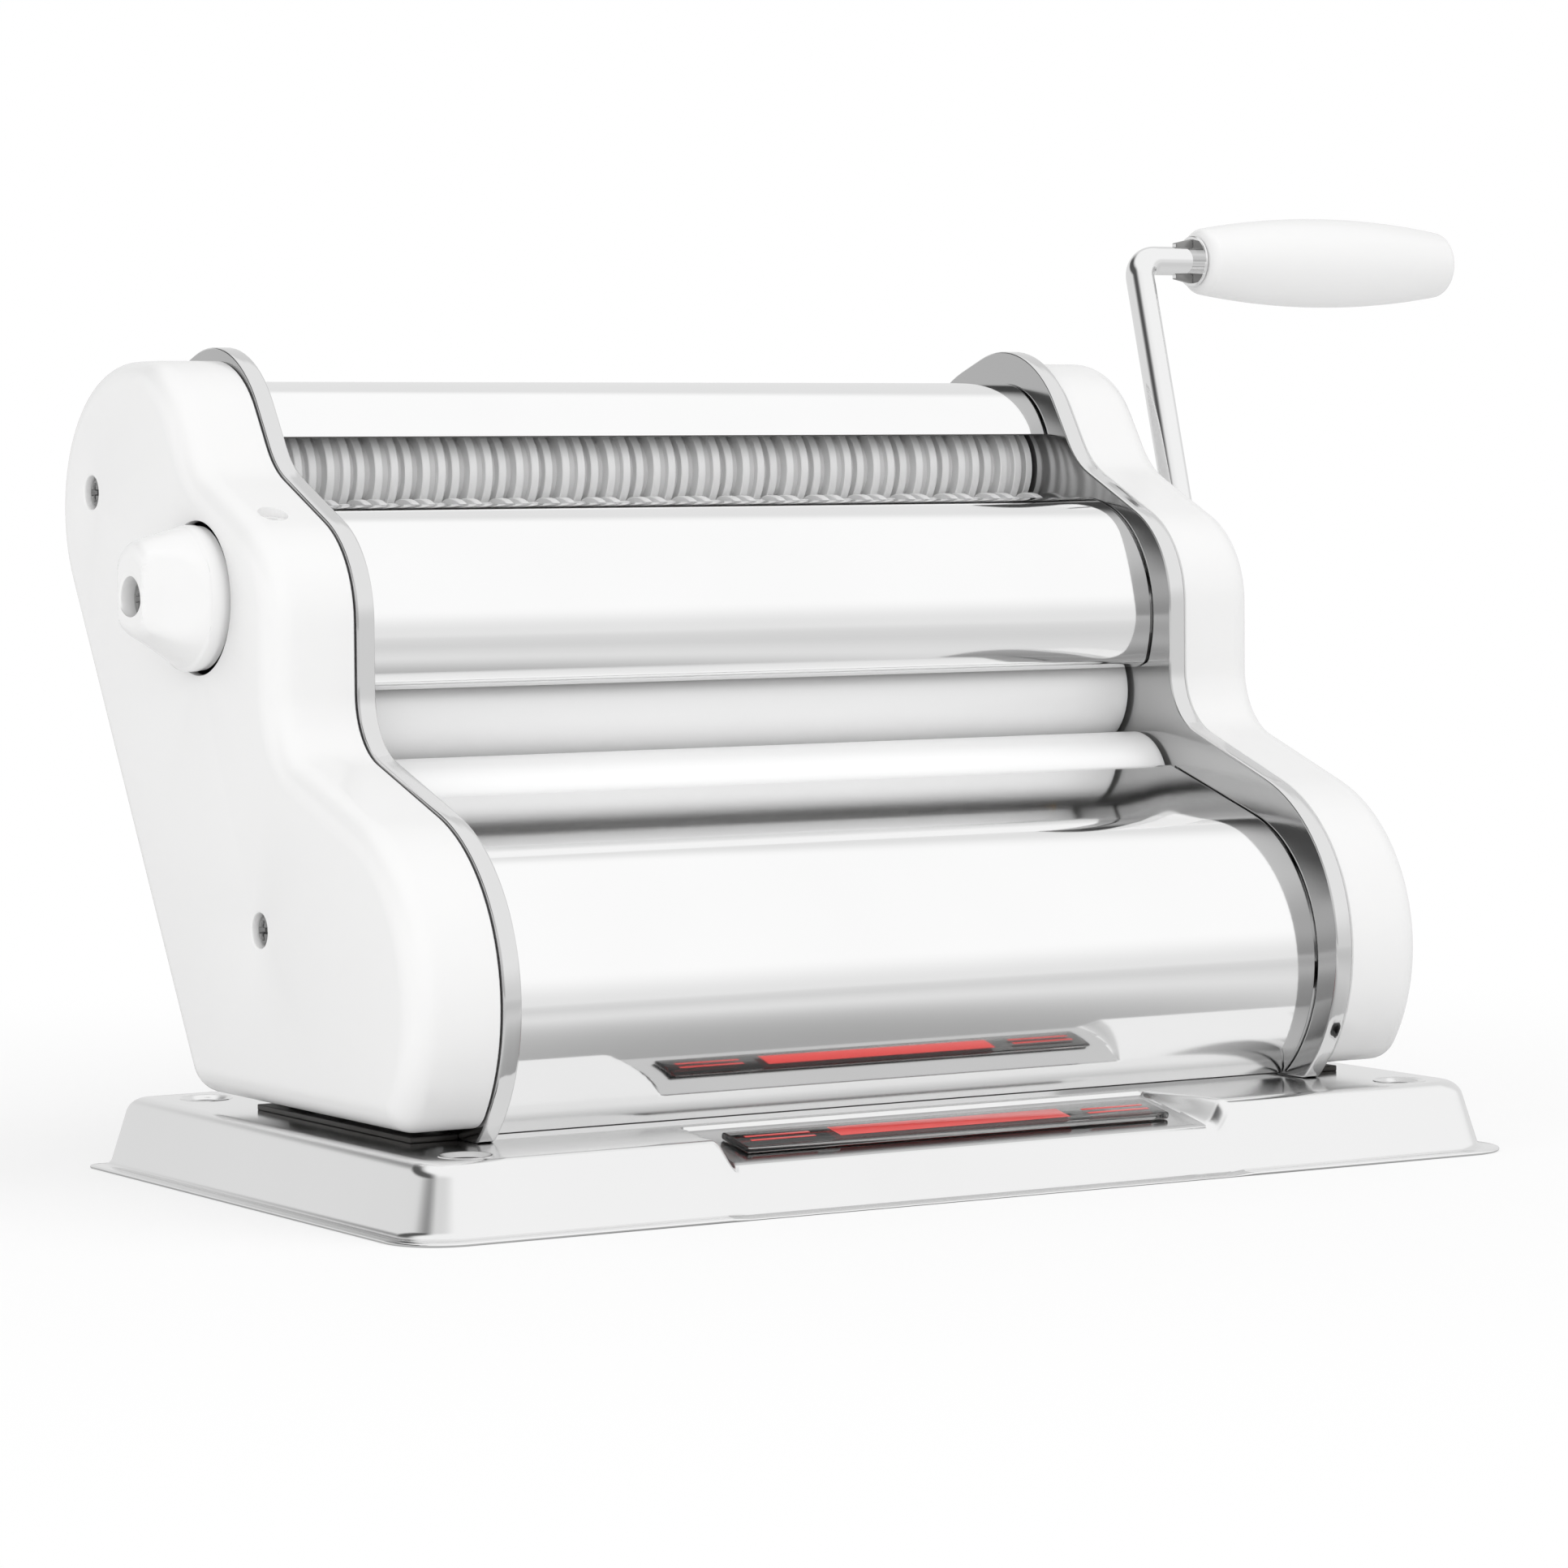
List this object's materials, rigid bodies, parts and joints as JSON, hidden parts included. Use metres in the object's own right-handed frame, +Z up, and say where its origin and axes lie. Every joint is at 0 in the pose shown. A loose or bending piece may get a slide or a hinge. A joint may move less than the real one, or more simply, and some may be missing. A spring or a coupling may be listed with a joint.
{
  "type": "pasta roller machine",
  "caption": "Hand-cranked pasta roller on a pressed base tray, with an adjustable pair of smooth rollers, a pair of ribbon cutters, polished plates, hollow covers and a crank.",
  "frame": {"origin": "centre of the four base holes, on the plane that the tray stands on", "axes": "+X along the rollers towards the crank, -Y to the feeding side, +Z up"},
  "size_m": [0.4855, 0.2481, 0.2736],
  "materials": {
    "white_plastic": "gloss moulded",
    "polished_steel": "mirror polished",
    "satin_aluminium": "satin anodised",
    "plain_steel": "plain",
    "bronze": "sintered",
    "grey_nylon": "moulded",
    "black_rubber": "matte",
    "smoky_clear": "clear moulded"
  },
  "bodies": {
    "drive_roller": {"upper_roller": "satin_aluminium", "upper_roller_gear": "plain_steel", "drive_gear": "plain_steel", "crank_rod": "polished_steel", "crank_washer": "polished_steel", "grip_clip": "plain_steel"},
    "grip": {"crank_grip": "white_plastic"},
    "lower_roller": {"lower_roller": "satin_aluminium", "lower_roller_gear": "plain_steel"},
    "carriage": {"left_link": "plain_steel", "right_link": "plain_steel", "lower_roller_bushes": "bronze"},
    "regulator": {"regulator_knob": "white_plastic", "knob_screw": "polished_steel", "regulator_spindle": "plain_steel", "left_cam": "plain_steel", "right_cam": "plain_steel"},
    "idler": {"idler_gear": "plain_steel"},
    "upper_cutter": {"upper_cutter": "satin_aluminium", "upper_cutter_gear": "plain_steel", "cutter_drive_gear": "plain_steel"},
    "lower_cutter": {"lower_cutter": "satin_aluminium", "lower_cutter_gear": "plain_steel"},
    "frame": {"base_tray": "polished_steel", "rubber_feet": "black_rubber", "badge_plate": "smoky_clear", "left_side_plate": "polished_steel", "right_side_plate": "polished_steel", "left_cover": "white_plastic", "right_cover": "white_plastic", "upper_roller_bushes": "bronze", "cutter_bushes": "bronze", "idler_pin": "plain_steel", "idler_clip": "plain_steel", "spindle_bushes": "bronze", "lower_sheet": "polished_steel", "middle_sheet": "polished_steel", "top_sheet": "polished_steel", "rear_lower_sheet": "plain_steel", "rear_upper_sheet": "plain_steel", "upper_scraper": "plain_steel", "lower_scraper": "plain_steel", "upper_comb": "grey_nylon", "lower_comb": "grey_nylon", "tie_rods": "plain_steel", "tie_rod_screws": "plain_steel", "cover_screws": "polished_steel", "left_foot_bar": "plain_steel", "right_foot_bar": "plain_steel", "foot_bar_screws": "plain_steel", "foot_bar_nuts": "plain_steel"}
  },
  "joints": [
    {"name": "crank_turn", "type": "hinge", "parent": "frame", "child": "drive_roller", "pos_m": [0, 0.0434, 0.1285], "axis": [1, 0, 0], "continuous": true},
    {"name": "grip_spin", "type": "hinge", "parent": "drive_roller", "child": "grip", "pos_m": [0.24, 0.09927, 0.25948], "axis": [1, 0, 0], "continuous": true},
    {"name": "regulator_turn", "type": "hinge", "parent": "frame", "child": "regulator", "pos_m": [0, 0.053, 0.161], "axis": [-1, 0, 0], "range_deg": [0, 270]},
    {"name": "gap_slide", "type": "slide", "parent": "frame", "child": "carriage", "axis": [0, 0.5878, 0.809], "range_m": [0, 0.0022]},
    {"name": "lower_roller_spin", "type": "hinge", "parent": "carriage", "child": "lower_roller", "pos_m": [0, 0.02271, 0.10002], "axis": [1, 0, 0], "continuous": true},
    {"name": "idler_spin", "type": "hinge", "parent": "frame", "child": "idler", "pos_m": [0, 0.08007, 0.15459], "axis": [1, 0, 0], "continuous": true},
    {"name": "upper_cutter_spin", "type": "hinge", "parent": "frame", "child": "upper_cutter", "pos_m": [0, 0.0915, 0.195], "axis": [1, 0, 0], "continuous": true},
    {"name": "lower_cutter_spin", "type": "hinge", "parent": "frame", "child": "lower_cutter", "pos_m": [0, 0.07563, 0.17316], "axis": [1, 0, 0], "continuous": true}
  ],
  "couplings": [
    {"joint": "regulator_turn", "follows": "gap_slide", "rad_per_m": 2142},
    {"joint": "lower_roller_spin", "follows": "crank_turn", "ratio": -1},
    {"joint": "idler_spin", "follows": "crank_turn", "ratio": -0.57895},
    {"joint": "upper_cutter_spin", "follows": "crank_turn", "ratio": 1.2222},
    {"joint": "lower_cutter_spin", "follows": "crank_turn", "ratio": -1.2222}
  ]
}
